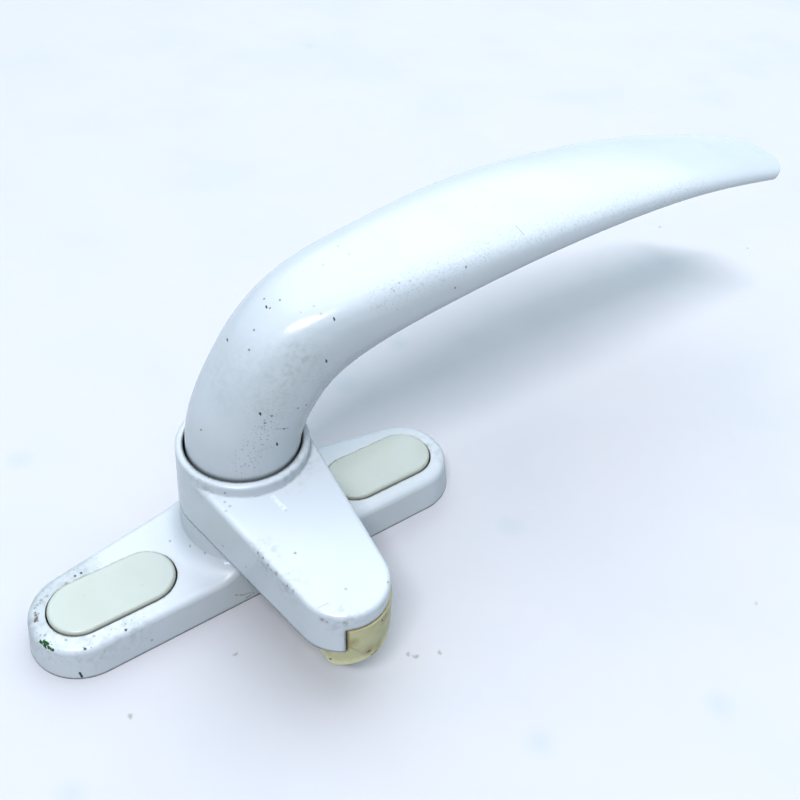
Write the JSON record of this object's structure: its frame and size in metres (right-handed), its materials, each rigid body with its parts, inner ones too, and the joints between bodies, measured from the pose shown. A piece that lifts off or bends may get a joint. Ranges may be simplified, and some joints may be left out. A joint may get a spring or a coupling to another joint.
{
  "type": "casement window handle",
  "caption": "White casement window handle: a long curved lever turns a locking nose with a nylon pad on a plate with covered screw holes.",
  "frame": {"origin": "middle of the line between the two screw holes, in the plane of the back face", "axes": "+X along the plate towards the lever's free end, -Y the way the closed nose points, +Z away from the window"},
  "size_m": [0.1924, 0.0594, 0.0677],
  "materials": {
    "white_coat": "gloss white powder coat",
    "cover_plastic": "satin off-white moulding",
    "pad_nylon": "yellowed nylon",
    "bush_nylon": "natural nylon",
    "ring_nylon": "natural nylon",
    "plated_steel": "zinc plated",
    "spring_steel": "dark spring steel"
  },
  "bodies": {
    "base": {"base_plate": "white_coat", "screw_cover_left": "cover_plastic", "screw_cover_right": "cover_plastic", "pivot_bush": "bush_nylon"},
    "handle": {"lever": "white_coat", "nose": "white_coat", "nose_pad": "pad_nylon", "pad_screw": "plated_steel", "spindle": "plated_steel", "thrust_washer": "plated_steel", "disc_springs": "spring_steel", "lock_nut": "plated_steel", "nut_ring": "ring_nylon"}
  },
  "joints": [
    {"name": "handle_turn", "type": "hinge", "parent": "base", "child": "handle", "pos_m": [0, 0.0024, 0], "axis": [0, 0, 1], "range_deg": [0, 90]}
  ]
}
